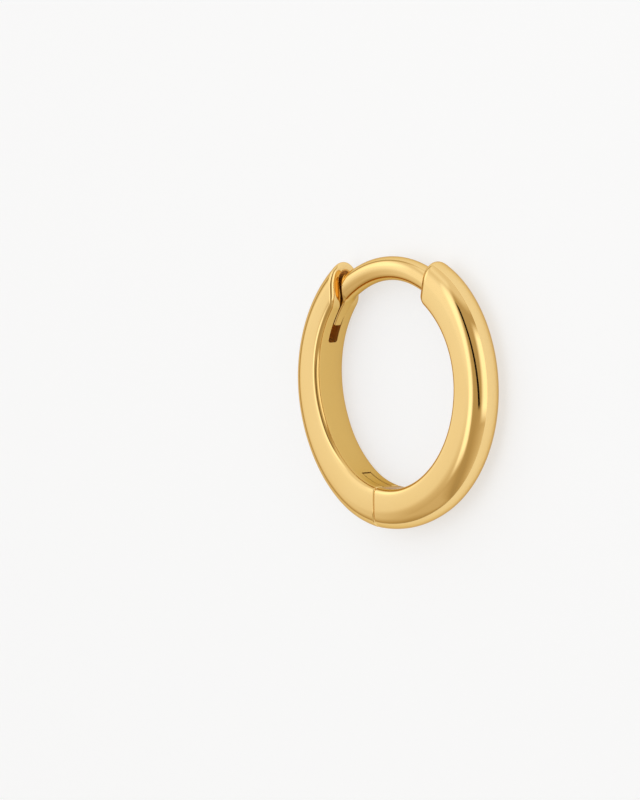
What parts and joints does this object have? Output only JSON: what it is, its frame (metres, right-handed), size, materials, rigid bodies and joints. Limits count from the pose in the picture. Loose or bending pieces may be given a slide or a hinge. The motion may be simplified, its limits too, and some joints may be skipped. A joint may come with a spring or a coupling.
{
  "type": "huggie hoop earring",
  "caption": "Plain polished gold-tone huggie hoop earring with a half-round band, a hidden hinge at the bottom, and an ear post that closes into a slotted catch.",
  "frame": {"origin": "Middle of the earring's footprint, on the surface that it lies on.", "axes": "+Z is the axis of the hoop and points up, so that the earring lies on one flat side. +Y points to the ear post and its catch, -Y to the hinge, +X to the front half that carries the post."},
  "size_m": [0.0126, 0.012, 0.0017],
  "materials": {
    "gold_band": "mirror polished gold-tone plating",
    "pin_metal": "drawn wire, gold-tone"
  },
  "bodies": {
    "back": {"hoop_back": "gold_band", "hinge_pin": "pin_metal"},
    "front": {"hoop_front": "gold_band"}
  },
  "joints": [
    {"name": "hinge", "type": "hinge", "parent": "back", "child": "front", "pos_m": [-0.00223, -0.00512, 0.00085], "axis": [0, 0, -1], "range_deg": [0, 40]}
  ]
}
